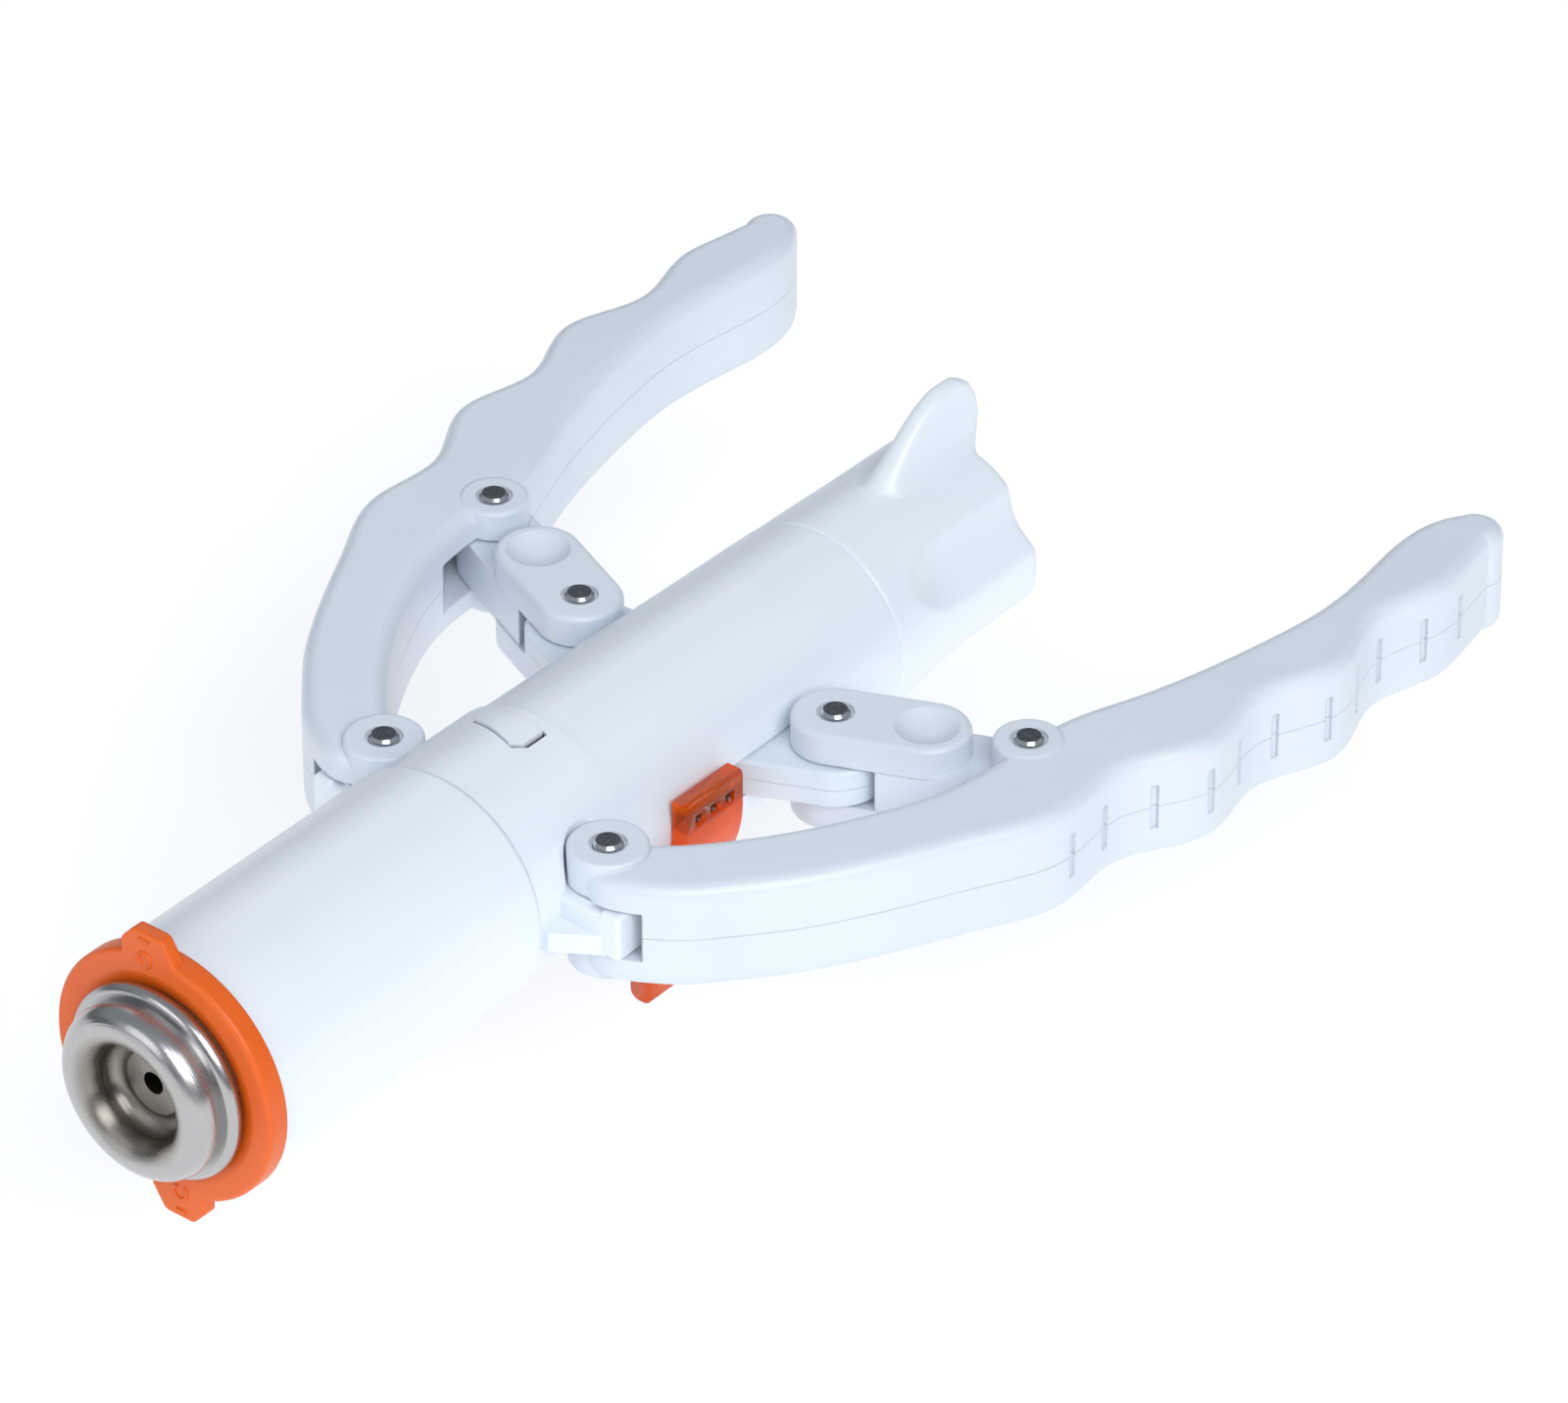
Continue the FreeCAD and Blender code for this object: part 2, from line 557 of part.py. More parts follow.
def handle_outline():
    """Left handle as seen from above, closed through the front knuckle."""
    outer, points = outer_curve()
    tip_mid = Vector(HANDLE_TIP, 57.6, 0)
    tip_end = Vector(HANDLE_TIP - 2.2, 54.3, 0)
    inner_back = [(181.6, 52.1), (176.5, 51.6), (168.0, 52.5), (158.0, 53.1), (148.0, 51.8),
                  (138.0, 49.7), (128.0, 46.8), (118.0, 43.3)]
    inner_front = [(103.0, 42.1), (96.5, 40.9), (90.5, 38.6), (84.0, 35.3), (77.5, 31.3),
                   (71.5, 26.7), (67.4, 22.8), (64.6, 19.2)]
    inner = [tip_end] + [Vector(x, y, 0) for x, y in inner_back + [(110.0, 42.4)] + inner_front]
    inner_curve = Part.BSplineCurve()
    inner_curve.interpolate(inner)
    edges = [outer.toShape(), Part.Arc(points[-1], tip_mid, tip_end).toShape(),
             inner_curve.toShape(), Part.makeLine(inner[-1], points[0])]
    return Part.Wire(Part.__sortEdges__(edges))


def outer_curve():
    """Wavy outer line of the left handle, from beside its front knuckle to its tip."""
    knuckle = Vector(FRONT_PIVOT.x - KNUCKLE_R + 0.2, FRONT_PIVOT.y + 0.7, 0)
    shoulder = [(55.3, 21.6), (57.4, 26.8), (60.6, 31.2), (64.6, 34.8), (69.2, 38.7),
                (75.4, 42.9), (83.5, 47.4), (91.5, 51.5)]
    points = [knuckle] + [Vector(x, y, 0) for x, y in shoulder]
    for i in range(GRIP_CRESTS):
        crest = GRIP_FIRST + i * GRIP_PITCH
        points.append(Vector(crest, back_line(crest), 0))
        if i < GRIP_CRESTS - 1:
            valley = crest + GRIP_PITCH / 2
            points.append(Vector(valley, back_line(valley) - GRIP_DEPTH, 0))
    points += [Vector(HANDLE_TIP - 10.9, 61.9, 0), Vector(HANDLE_TIP - 5.2, 60.9, 0)]
    curve = Part.BSplineCurve()
    curve.interpolate(points)
    return curve, points


def grip_grooves():
    """Small upright grooves cut square into the outer face."""
    curve, points = outer_curve()
    grooves = []
    for i in range(GROOVE_COUNT):
        x = GROOVE_FIRST + i * GROOVE_PITCH
        plane = Part.Plane(Vector(x, 0, 0), Vector(1, 0, 0))
        at = curve.intersect(plane)[0][0]
        here = Vector(at.X, at.Y, 0)
        along = curve.tangent(curve.parameter(here))[0]
        turn = math.degrees(math.atan2(along.y, along.x))
        groove = Part.makeBox(GROOVE_WIDTH, 2 * GROOVE_DEPTH, GROOVE_HALF,
                              Vector(here.x - GROOVE_WIDTH / 2, here.y - GROOVE_DEPTH, 0))
        groove.rotate(here, Vector(0, 0, 1), turn)
        grooves.append(groove)
    return Part.makeCompound(grooves)


def link_pocket():
    """Slot in the handle's inner side, swept by the link's tongue as the handle closes."""
    reach = (LUG_PIVOT - LINK_PIVOT).Length + LINK_R
    rest = math.atan2(LUG_PIVOT.y - LINK_PIVOT.y, LUG_PIVOT.x - LINK_PIVOT.x)
    swing = math.radians(LINK_SWING - CLOSE_ANGLE)
    half = TONGUE_HALF + SLIDE_GAP
    wide = TONGUE_R + TONGUE_PLAY + SLIDE_GAP
    steps = 4
    bars = []
    for i in range(steps + 1):
        far = point_on(LINK_PIVOT, rest - swing * i / steps, reach)
        bars.append(bar_plate(LINK_PIVOT, far, wide, -half, half))
    return bars[0].multiFuse(bars[1:])


def handle_upper():
    """Upper moulding of the left handle, split from the lower one at mid height."""
    grip = extruded(handle_outline(), 0, HANDLE_HALF)
    grip = grip.makeFillet(HANDLE_EDGE, edges_at_z(grip, HANDLE_HALF))
    knuckle_top = HANDLE_HALF + KNUCKLE_RISE
    knuckle = cylinder_z(KNUCKLE_R, 0, knuckle_top, FRONT_PIVOT)
    knuckle = knuckle.makeFillet(0.5, edges_at_z(knuckle, knuckle_top))
    boss_top = HANDLE_HALF + LINK_BOSS_RISE
    boss = cylinder_z(LINK_BOSS_R, 0, boss_top, LINK_PIVOT)
    boss = boss.makeFillet(0.6, edges_at_z(boss, boss_top))
    shape = grip.multiFuse([knuckle, boss])
    shape = shape.cut(cylinder_z(FORK_R, 0, EAR_HALF + SLIDE_GAP, FRONT_PIVOT))
    shape = shape.cut(link_pocket()).cut(grip_grooves())
    shape = shape.cut(cylinder_z(PIN_R + RUN_FIT, 0, knuckle_top, FRONT_PIVOT))
    shape = shape.cut(cylinder_z(PIN_R, 0, boss_top, LINK_PIVOT))
    for top, centre in ((knuckle_top, FRONT_PIVOT), (boss_top, LINK_PIVOT)):
        shape = shape.cut(cylinder_z(PIN_SEAT_R, top - PIN_SEAT_DEPTH, top, centre))
    return shape


# Links and pins

def link():
    """Left link: a fork over the lug, a web, and a tongue that enters the handle."""
    axis = (LINK_PIVOT - LUG_PIVOT).normalize()
    plate_end = LUG_PIVOT + axis * LINK_PLATE
    low = LUG_HALF + SLIDE_GAP
    tongue = bar_plate(LUG_PIVOT, LINK_PIVOT, LINK_R, -TONGUE_HALF, TONGUE_HALF, TONGUE_R)
    tongue = tongue.cut(cylinder_z(LINK_THROAT_R, -TONGUE_HALF, TONGUE_HALF, LUG_PIVOT))
    plate = bar_plate(LUG_PIVOT, plate_end, LINK_R, low, LINK_PLATE_HALF)
    plate = plate.makeFillet(LINK_EDGE, edges_at_z(plate, LINK_PLATE_HALF))
    bowl = (DIMPLE_R ** 2 + DIMPLE_DEPTH ** 2) / (2 * DIMPLE_DEPTH)
    dimple = Part.makeSphere(bowl, Vector(plate_end.x, plate_end.y, LINK_PLATE_HALF - DIMPLE_DEPTH + bowl))
    seat = cylinder_z(PIN_SEAT_R, LINK_PLATE_HALF - PIN_SEAT_DEPTH, LINK_PLATE_HALF, LUG_PIVOT)
    plate = plate.cut(dimple).cut(seat).cut(cylinder_z(PIN_R, low, LINK_PLATE_HALF, LUG_PIVOT))
    shape = tongue.multiFuse([plate, mirror_z(plate)]).removeSplitter()
    play = cylinder_z(PIN_R + TONGUE_PLAY, -TONGUE_HALF, TONGUE_HALF, LINK_PIVOT)
    return shape.cut(play)


def rivet_pin(centre, half_length):
    """Steel pin with chamfered flat ends."""
    pin = cylinder_z(PIN_R, -half_length, half_length, centre)
    ends = edges_at_z(pin, half_length) + edges_at_z(pin, -half_length)
    return pin.makeChamfer(PIN_CHAMFER, ends)


# Knob and what holds it

def clip_front():
    return TUBE_END - KNOB_SPIGOT / 2 - CLIP_THICK / 2


def rear_bush():
    """Bush fixed in the tube, whose flatted bore keeps the drawbar from turning."""
    body = cylinder_x(TUBE_BORE_R, BUSH_FRONT, BUSH_FRONT + BUSH_LENGTH)
    bore = cylinder_x(BAR_R + RUN_FIT, BUSH_FRONT, BUSH_FRONT + BUSH_LENGTH)
    flat = BAR_FLAT + RUN_FIT
    bore = bore.common(block(0, TUBE_END, -BAR_R * 2, BAR_R * 2, -flat, flat))
    return body.cut(bore)


def thrust_washer():
    start = BUSH_FRONT + BUSH_LENGTH
    return tube_x(KNOB_SPIGOT_R, BAR_R + 1, start, start + THRUST_THICK - SEAT_GAP)


def retaining_clip():
    """Split ring in the tube's groove that keeps the knob in place."""
    x = clip_front()
    ring = tube_x(TUBE_BORE_R + CLIP_GROOVE, KNOB_SPIGOT_R - CLIP_GROOVE, x, x + CLIP_THICK)
    return ring.cut(block(x, x + CLIP_THICK, -2, 2, -KNOB_BAND_R, 0))


def fin():
    """Curved thumb fin, standing along +Z and thinner at its tip."""
    start = TUBE_END + FIN_BACK
    end = TUBE_END + KNOB_LENGTH
    root = FLUTE_FLOOR_R - 1
    foot = Vector(start, 0, root)
    top = Vector(end - 3.4, 0, FIN_TIP_R)
    heel = Vector(end + 2.0, 0, KNOB_REAR_R + 3.6)
    front = Part.BSplineCurve()
    front.interpolate([foot, Vector(start + 1.6, 0, KNOB_BAND_R + 0.3),
                       Vector(start + 5.2, 0, FIN_TIP_R - 5.6),
                       Vector(start + 10.0, 0, FIN_TIP_R - 1.7), top])
    tip = Part.Arc(top, Vector(end, 0, FIN_TIP_R - 1.4), heel).toShape()
    back = Part.Arc(heel, Vector(end + 2.2, 0, KNOB_REAR_R + 0.4), Vector(end - 0.6, 0, root)).toShape()
    edges = [front.toShape(), tip, back, Part.makeLine(Vector(end - 0.6, 0, root), foot)]
    side = Part.Face(Part.Wire(Part.__sortEdges__(edges)))
    side.translate(Vector(0, -FIN_FOOT_HALF, 0))
    plate = side.extrude(Vector(0, 2 * FIN_FOOT_HALF, 0)).common(fin_section(start - 1))
    rim = [e for e in plate.Edges if e.BoundBox.ZMax > KNOB_REAR_R + 6 and e.BoundBox.XLength > 1]
    return plate.makeFillet(FIN_EDGE, rim)


def fin_section(x):
    """Prism along +X with the fin's cross-section: a slim wedge that flares into the knob."""
    sides = []
    for side in (1, -1):
        tip = Vector(x, side * FIN_TIP_HALF, FIN_TIP_R + 1)
        neck = Vector(x, side * FIN_NECK_HALF, KNOB_REAR_R + FIN_BLEND)
        foot = Vector(x, side * FIN_FOOT_HALF, math.sqrt(KNOB_REAR_R ** 2 - FIN_FOOT_HALF ** 2))
        bend = Vector(x, side * (FIN_NECK_HALF + 1.35), KNOB_REAR_R + 0.3)
        sides.append((tip, foot, [Part.makeLine(tip, neck), Part.Arc(neck, bend, foot).toShape()]))
    (tip, foot, edges), (other_tip, other_foot, others) = sides
    low = Vector(x, FIN_FOOT_HALF, 0)
    other_low = Vector(x, -FIN_FOOT_HALF, 0)
    ends = [(tip, other_tip), (foot, low), (low, other_low), (other_low, other_foot)]
    edges = edges + others + [Part.makeLine(p, q) for p, q in ends]
    face = Part.Face(Part.Wire(Part.__sortEdges__(edges)))
    return face.extrude(Vector(KNOB_LENGTH, 0, 0))


def flutes():
    """Broad hollows round the knob's rear part, fading out towards the band."""
    start = TUBE_END + FLUTE_BACK
    out = FLUTE_FLOOR_R + FLUTE_R
    found = []
    for i in range(1, FLUTE_COUNT):
        angle = math.pi / 2 + 2 * math.pi * i / FLUTE_COUNT
        centre = Vector(start, out * math.cos(angle), out * math.sin(angle))
        trough = Part.makeCylinder(FLUTE_R, KNOB_LENGTH, centre, Vector(1, 0, 0))
        found.append(trough.fuse(Part.makeSphere(FLUTE_R, centre)))
    return found


def knob():
    """Fluted tail knob with a thumb fin; its spigot turns in the rear tube."""
    start = TUBE_END + KNOB_GAP
    band_end = TUBE_END + KNOB_BAND
    end = TUBE_END + KNOB_LENGTH
    hollow = KNOB_REAR_R - 3.5
    body = revolved([(start, 0), (start, KNOB_BAND_R - 0.3), (start + 0.3, KNOB_BAND_R),
                     (band_end, KNOB_BAND_R), (end, KNOB_REAR_R),
                     (end, hollow), (end - 1.2, hollow - 1.2), (end - 1.2, 0)])
    body = body.makeFillet(KNOB_ROUND, edges_at_x(body, end, KNOB_REAR_R))
    for flute in flutes():
        body = body.cut(flute)
    spigot_front = TUBE_END - KNOB_SPIGOT
    spigot = cylinder_x(KNOB_SPIGOT_R, spigot_front, start)
    clip_x = clip_front()
    groove = tube_x(KNOB_SPIGOT_R + 1, KNOB_SPIGOT_R - CLIP_GROOVE - SLIDE_GAP,
                    clip_x - SLIDE_GAP, clip_x + CLIP_THICK + SLIDE_GAP)
    rod_bore = cylinder_x(BAR_R + SLIDE_GAP, spigot_front, BAR_END + END_GAP)
    nut_seat = hexagon(NUT_R, spigot_front, spigot_front + NUT_LENGTH)
    shape = body.multiFuse([spigot, fin()]).cut(groove)
    return shape.cut(rod_bore).cut(nut_seat).removeSplitter()


def hexagon(radius, start, end):
    corners = []
    for i in range(6):
        angle = math.radians(60 * i)
        corners.append(Vector(start, radius * math.cos(angle), radius * math.sin(angle)))
    outline = Part.makePolygon(corners + corners[:1])
    return Part.Face(outline).extrude(Vector(end - start, 0, 0))


def knob_nut():
    """Brass nut pressed into the knob, which drives the drawbar."""
    start = TUBE_END - KNOB_SPIGOT
    end = start + NUT_LENGTH
    return hexagon(NUT_R, start, end).cut(cylinder_x(BAR_R + RUN_FIT, start, end))


# Safety catch

def catch_leg(side):
    """One of the two legs that are squeezed to open the catch."""
    inner = CATCH_LEG_OUT - CATCH_LEG_THICK
    outline = [(CATCH_LEG_OUT, -10.0), (CATCH_LEG_OUT - CATCH_LEG_LEAN, CATCH_BOTTOM),
               (inner - CATCH_LEG_LEAN, CATCH_BOTTOM), (inner, -13.0)]
    corners = [Vector(CATCH_FRONT, side * y, z) for y, z in outline]
    leg = Part.Face(Part.makePolygon(corners + corners[:1])).extrude(Vector(CATCH_LENGTH, 0, 0))
    return leg.makeFillet(CATCH_LEG_THICK * 0.4, [e for e in leg.Edges if e.BoundBox.ZMax < CATCH_BOTTOM + 0.1
                                                  and e.BoundBox.XLength > 1])


def catch_pockets(outer):
    """Small square pockets in the outer faces of the two arms."""
    half = POCKET_SIZE / 2
    pockets = []
    for i in range(POCKET_COUNT):
        x = CATCH_FRONT + POCKET_FIRST + i * POCKET_PITCH
        pocket = block(x - half, x + half, outer - POCKET_DEPTH, outer + 1,
                       POCKET_LOW, POCKET_LOW + POCKET_SIZE)
        pockets += [pocket, mirror_y(pocket)]
    return Part.makeCompound(pockets)


def safety_catch():
    """Orange clip that saddles the tube ahead of the lugs, with two legs below."""
    inner = tube_radius(CATCH_FRONT) + SLIDE_GAP
    outer = inner + CATCH_WALL
    back = CATCH_FRONT + CATCH_LENGTH
    saddle = cylinder_x(outer, CATCH_FRONT, back)
    saddle = saddle.common(block(CATCH_FRONT, back, -outer, outer, -outer, 0))
    arms = block(CATCH_FRONT, back, -outer, outer, 0, CATCH_TOP)
    top = [e for e in edges_at_z(arms, CATCH_TOP) if e.BoundBox.XLength > 1]
    arms = arms.makeFillet(CATCH_ROUND, top)
    bore = cylinder_x(inner, CATCH_FRONT, back)
    gate = block(CATCH_FRONT, back, -inner, inner, 0, CATCH_TOP)
    shape = saddle.multiFuse([arms, catch_leg(1), catch_leg(-1)])
    return shape.cut(bore).cut(gate).cut(catch_pockets(outer)).removeSplitter()


def build():
    upper = handle_upper()
    lower = mirror_z(upper)
    pusher = pusher_upper()
    left_link = link()
    pin_halves = {
        "front_pin": (FRONT_PIVOT, HANDLE_HALF + KNUCKLE_RISE + PIN_PROUD),
        "lug_pin": (LUG_PIVOT, LINK_PLATE_HALF + PIN_PROUD),
        "handle_pin": (LINK_PIVOT, HANDLE_HALF + LINK_BOSS_RISE + PIN_PROUD),
    }
    parts = {
        "glans_bell": glans_bell(),
        "drawbar": drawbar(),
        "cutting_washer": cutting_washer(),
        "size_ring": size_ring(),
        "staple_cartridge": staple_cartridge(),
        "staples": staples(),
        "staple_pusher": staple_pusher(),
        "ring_knife": ring_knife(),
        "pusher_upper": pusher,
        "pusher_lower": mirror_z(pusher),
        "front_sleeve": front_sleeve(),
        "front_collar": front_collar(),
        "rear_tube": rear_tube(),
        "rear_bush": rear_bush(),
        "thrust_washer": thrust_washer(),
        "retaining_clip": retaining_clip(),
        "knob": knob(),
        "knob_nut": knob_nut(),
        "left_handle_upper": upper,
        "left_handle_lower": lower,
        "right_handle_upper": mirror_y(upper),
        "right_handle_lower": mirror_y(lower),
        "left_link": left_link,
        "right_link": mirror_y(left_link),
        "safety_catch": safety_catch(),
    }
    for name, (centre, half) in pin_halves.items():
        pin = rivet_pin(centre, half)
        parts["left_" + name] = pin
        parts["right_" + name] = mirror_y(pin)
    return parts


def main():
    os.makedirs("parts", exist_ok=True)
    for name, shape in build().items():
        shape.exportStep("parts/" + name + ".step")
        print(name, len(shape.Solids), "solid(s), volume", round(shape.Volume, 1), "valid", shape.isValid())


main()
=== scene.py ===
import json
import math

import bpy
import bmesh
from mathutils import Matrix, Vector


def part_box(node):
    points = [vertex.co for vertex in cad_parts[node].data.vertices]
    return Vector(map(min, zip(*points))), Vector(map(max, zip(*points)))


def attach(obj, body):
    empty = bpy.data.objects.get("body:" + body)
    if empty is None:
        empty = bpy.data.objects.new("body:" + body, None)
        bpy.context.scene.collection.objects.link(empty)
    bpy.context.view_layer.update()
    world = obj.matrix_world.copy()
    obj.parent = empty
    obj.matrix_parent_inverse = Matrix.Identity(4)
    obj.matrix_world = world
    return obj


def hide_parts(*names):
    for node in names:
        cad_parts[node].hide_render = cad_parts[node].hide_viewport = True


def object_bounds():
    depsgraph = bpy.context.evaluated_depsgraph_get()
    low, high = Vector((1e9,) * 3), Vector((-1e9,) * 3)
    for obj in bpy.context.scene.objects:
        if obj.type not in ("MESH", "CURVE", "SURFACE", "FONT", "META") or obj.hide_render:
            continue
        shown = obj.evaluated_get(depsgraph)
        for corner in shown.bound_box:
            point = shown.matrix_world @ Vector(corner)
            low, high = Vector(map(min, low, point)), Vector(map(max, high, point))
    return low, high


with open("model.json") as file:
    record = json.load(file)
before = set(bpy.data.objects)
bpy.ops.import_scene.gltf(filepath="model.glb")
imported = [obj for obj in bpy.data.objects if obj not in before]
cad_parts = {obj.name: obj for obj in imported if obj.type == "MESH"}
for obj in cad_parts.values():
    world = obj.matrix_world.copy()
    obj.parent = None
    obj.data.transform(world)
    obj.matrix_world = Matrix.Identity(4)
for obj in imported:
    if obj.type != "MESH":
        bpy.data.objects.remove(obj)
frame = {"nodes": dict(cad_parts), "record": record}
cad_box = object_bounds()
nodes = frame["nodes"]
MM = 0.001


# Node helpers

def new_material(name, colour, roughness, metallic=0.0):
    """A Principled material, returned with its node tree and its shader."""
    material = bpy.data.materials.new(name)
    material.use_nodes = True
    tree = material.node_tree
    shader = tree.nodes["Principled BSDF"]
    shader.inputs["Base Color"].default_value = (*colour, 1)
    shader.inputs["Roughness"].default_value = roughness
    shader.inputs["Metallic"].default_value = metallic
    return material, tree, shader


def add(tree, kind, **values):
    node = tree.nodes.new(kind)
    for key, value in values.items():
        setattr(node, key, value)
    return node


def object_coordinates(tree):
    return add(tree, "ShaderNodeTexCoord").outputs["Object"]


def axes(tree):
    """The object's own X, Y and Z as three outputs, picked by name."""
    parts = add(tree, "ShaderNodeSeparateXYZ")
    tree.links.new(object_coordinates(tree), parts.inputs["Vector"])
    return parts.outputs


def noise(tree, scale, detail=3.0, rough=0.5):
    """Noise with so many features to the metre."""
    node = add(tree, "ShaderNodeTexNoise")
    node.inputs["Scale"].default_value = scale
    node.inputs["Detail"].default_value = detail
    node.inputs["Roughness"].default_value = rough
    tree.links.new(object_coordinates(tree), node.inputs["Vector"])
    return node.outputs["Fac"]


def spread(tree, value, low, high, start=0.0, end=1.0):
    """Map a value from start..end to low..high, clamped."""
    node = add(tree, "ShaderNodeMapRange")
    for name, number in (("From Min", start), ("From Max", end), ("To Min", low), ("To Max", high)):
        node.inputs[name].default_value = number
    tree.links.new(value, node.inputs["Value"])
    return node.outputs["Result"]


def mix_colours(tree, factor, first, second):
    node = add(tree, "ShaderNodeMix", data_type="RGBA")
    tree.links.new(factor, node.inputs["Factor"])
    for socket, colour in ((node.inputs["A"], first), (node.inputs["B"], second)):
        if isinstance(colour, tuple):
            socket.default_value = (*colour, 1)
        else:
            tree.links.new(colour, socket)
    return node.outputs["Result"]


def math_node(tree, operation, first, second=None):
    node = add(tree, "ShaderNodeMath", operation=operation)
    for socket, value in zip(node.inputs, (first, second)):
        if isinstance(value, (int, float)):
            socket.default_value = value
        elif value is not None:
            tree.links.new(value, socket)
    return node.outputs["Value"]


def product(tree, first, *others):
    for other in others:
        first = math_node(tree, "MULTIPLY", first, other)
    return first


def axis_distance(tree, place):
    """Distance of a point from the body axis."""
    across = product(tree, place["Y"], place["Y"])
    up = product(tree, place["Z"], place["Z"])
    return math_node(tree, "SQRT", math_node(tree, "ADD", across, up))


def between(tree, value, start, end, fade):
    """One from start to end and nought outside, with a short fade inside each limit."""
    after = spread(tree, value, 0.0, 1.0, start, start + fade)
    before = spread(tree, value, 1.0, 0.0, end - fade, end)
    return product(tree, after, before)


def bump(tree, shader, height, strength, distance, normal=None):
    node = add(tree, "ShaderNodeBump")
    node.inputs["Strength"].default_value = strength
    node.inputs["Distance"].default_value = distance
    tree.links.new(height, node.inputs["Height"])
    if normal:
        tree.links.new(normal, node.inputs["Normal"])
    tree.links.new(node.outputs["Normal"], shader.inputs["Normal"])


# White, orange and nylon mouldings

PLASTIC_IOR = 1.5
EDGE_SAMPLES = 6
EDGE_TURN = (0.86, 0.99)     # cosine from the flat to the rounded normal, at an edge and clear of it
EDGE_ROUND = 0.35 * MM
# strength of the painted highlight laid along edges
EDGE_HIGHLIGHT = 0.5
EDGE_HIGHLIGHT_LIFT = 0.35                   # how far a painted highlight on an edge goes from its colour to white
SKIN = 0.02 * MM
SKIN_STRENGTH = 0.15
SEAM_EDGE = (0.04 * MM, 0.12 * MM)
SEAM_COLOUR = (0.42, 0.47, 0.52)
SEAM_FADE = (100 * MM, 120 * MM)
SEAM_REAR = 0.2
LOCK_DEPTH = (14.75 * MM, 15.3 * MM)
LOCK_X = (60.8 * MM, 67.2 * MM)
LOCK_Y = (-4.2 * MM, 6.5 * MM)
LOCK_Z = (0.0, 20 * MM)
LOCK_DARK = (0.05, 0.055, 0.065)
LOCK_FADE = 0.1 * MM


def soft_edges(tree, radius):
    """The normal of edges that catch the light as if rounded, and how near a point is to one."""
    rounded = add(tree, "ShaderNodeBevel", samples=EDGE_SAMPLES)
    rounded.inputs["Radius"].default_value = radius
    turn = add(tree, "ShaderNodeVectorMath", operation="DOT_PRODUCT")
    tree.links.new(rounded.outputs["Normal"], turn.inputs[0])
    tree.links.new(add(tree, "ShaderNodeNewGeometry").outputs["Normal"], turn.inputs[1])
    return rounded.outputs["Normal"], spread(tree, turn.outputs["Value"], 1.0, 0.0, *EDGE_TURN)


def parting_line(tree, colour):
    """Darken a hairline at mid height, where the halves of a handle meet, and less so on its grip."""
    place = axes(tree)
    height = math_node(tree, "ABSOLUTE", place["Z"])
    drawn = spread(tree, noise(tree, 130.0, 2.0), 0.05, 0.5, 0.38, 0.62)
    worn = spread(tree, place["X"], 1.0, SEAM_REAR, *SEAM_FADE)
    line = product(tree, spread(tree, height, 1.0, 0.0, *SEAM_EDGE), drawn, worn)
    return mix_colours(tree, line, colour, SEAM_COLOUR)


def lock_shadow(tree, colour):
    """Darken the deep sides of the gap round the twist lock on top of the collar."""
    place = axes(tree)
    deep = spread(tree, axis_distance(tree, place), 1.0, 0.0, *LOCK_DEPTH)
    for axis, limits in (("X", LOCK_X), ("Y", LOCK_Y), ("Z", LOCK_Z)):
        deep = product(tree, deep, between(tree, place[axis], *limits, LOCK_FADE))
    return mix_colours(tree, deep, colour, LOCK_DARK)


def moulded_plastic(name, colour, shade, roughness, skin=SKIN, edge=EDGE_ROUND, edge_highlight=0.0, seam=False,
                    lock=False):
    """Moulding with faint colour drift, slightly uneven gloss, a fine skin and soft edges, and where asked a
    painted highlight along the edges.
    """
    material, tree, shader = new_material(name, colour, roughness)
    drift = spread(tree, noise(tree, 55.0, 2.0), 0.0, 1.0, 0.35, 0.7)
    tint = mix_colours(tree, drift, colour, shade)
    normal = None
    if edge:
        normal, near_edge = soft_edges(tree, edge)
    # Painted highlight: edges lightened towards white, standing in for light that catches them.
    if edge_highlight:
        highlight_colour = tuple(channel + EDGE_HIGHLIGHT_LIFT * (1 - channel) for channel in colour)
        tint = mix_colours(tree, product(tree, near_edge, edge_highlight), tint, highlight_colour)
    if seam:
        tint = parting_line(tree, tint)
    if lock:
        tint = lock_shadow(tree, tint)
    tree.links.new(tint, shader.inputs["Base Color"])
    gloss = spread(tree, noise(tree, 160.0, 2.0), roughness - 0.012, roughness + 0.018, 0.3, 0.7)
    tree.links.new(gloss, shader.inputs["Roughness"])
    bump(tree, shader, noise(tree, 260.0, 1.0), SKIN_STRENGTH, skin, normal)
    shader.inputs["IOR"].default_value = PLASTIC_IOR
    return material


# Metals

BELL_METAL = (0.46, 0.455, 0.46)
# painted shade: darker and browner inside the first radius, the metal's own colour outside the second
BELL_DISH_SHADE = (7.4 * MM, 9.0 * MM, (0.27, 0.25, 0.225))
RIDGE_DEPTH = 0.2            # of the turned rings, as a share of their pitch
PIN_FACE = (0.93, 0.97)      # how upright a normal is on the chamfer and on the end
# painted highlight colour for the chamfer
PIN_CHAMFER_HIGHLIGHT = (0.62, 0.63, 0.66)
PIN_FACE_COLOURS = ((0.055, 0.06, 0.075), (0.13, 0.14, 0.16))


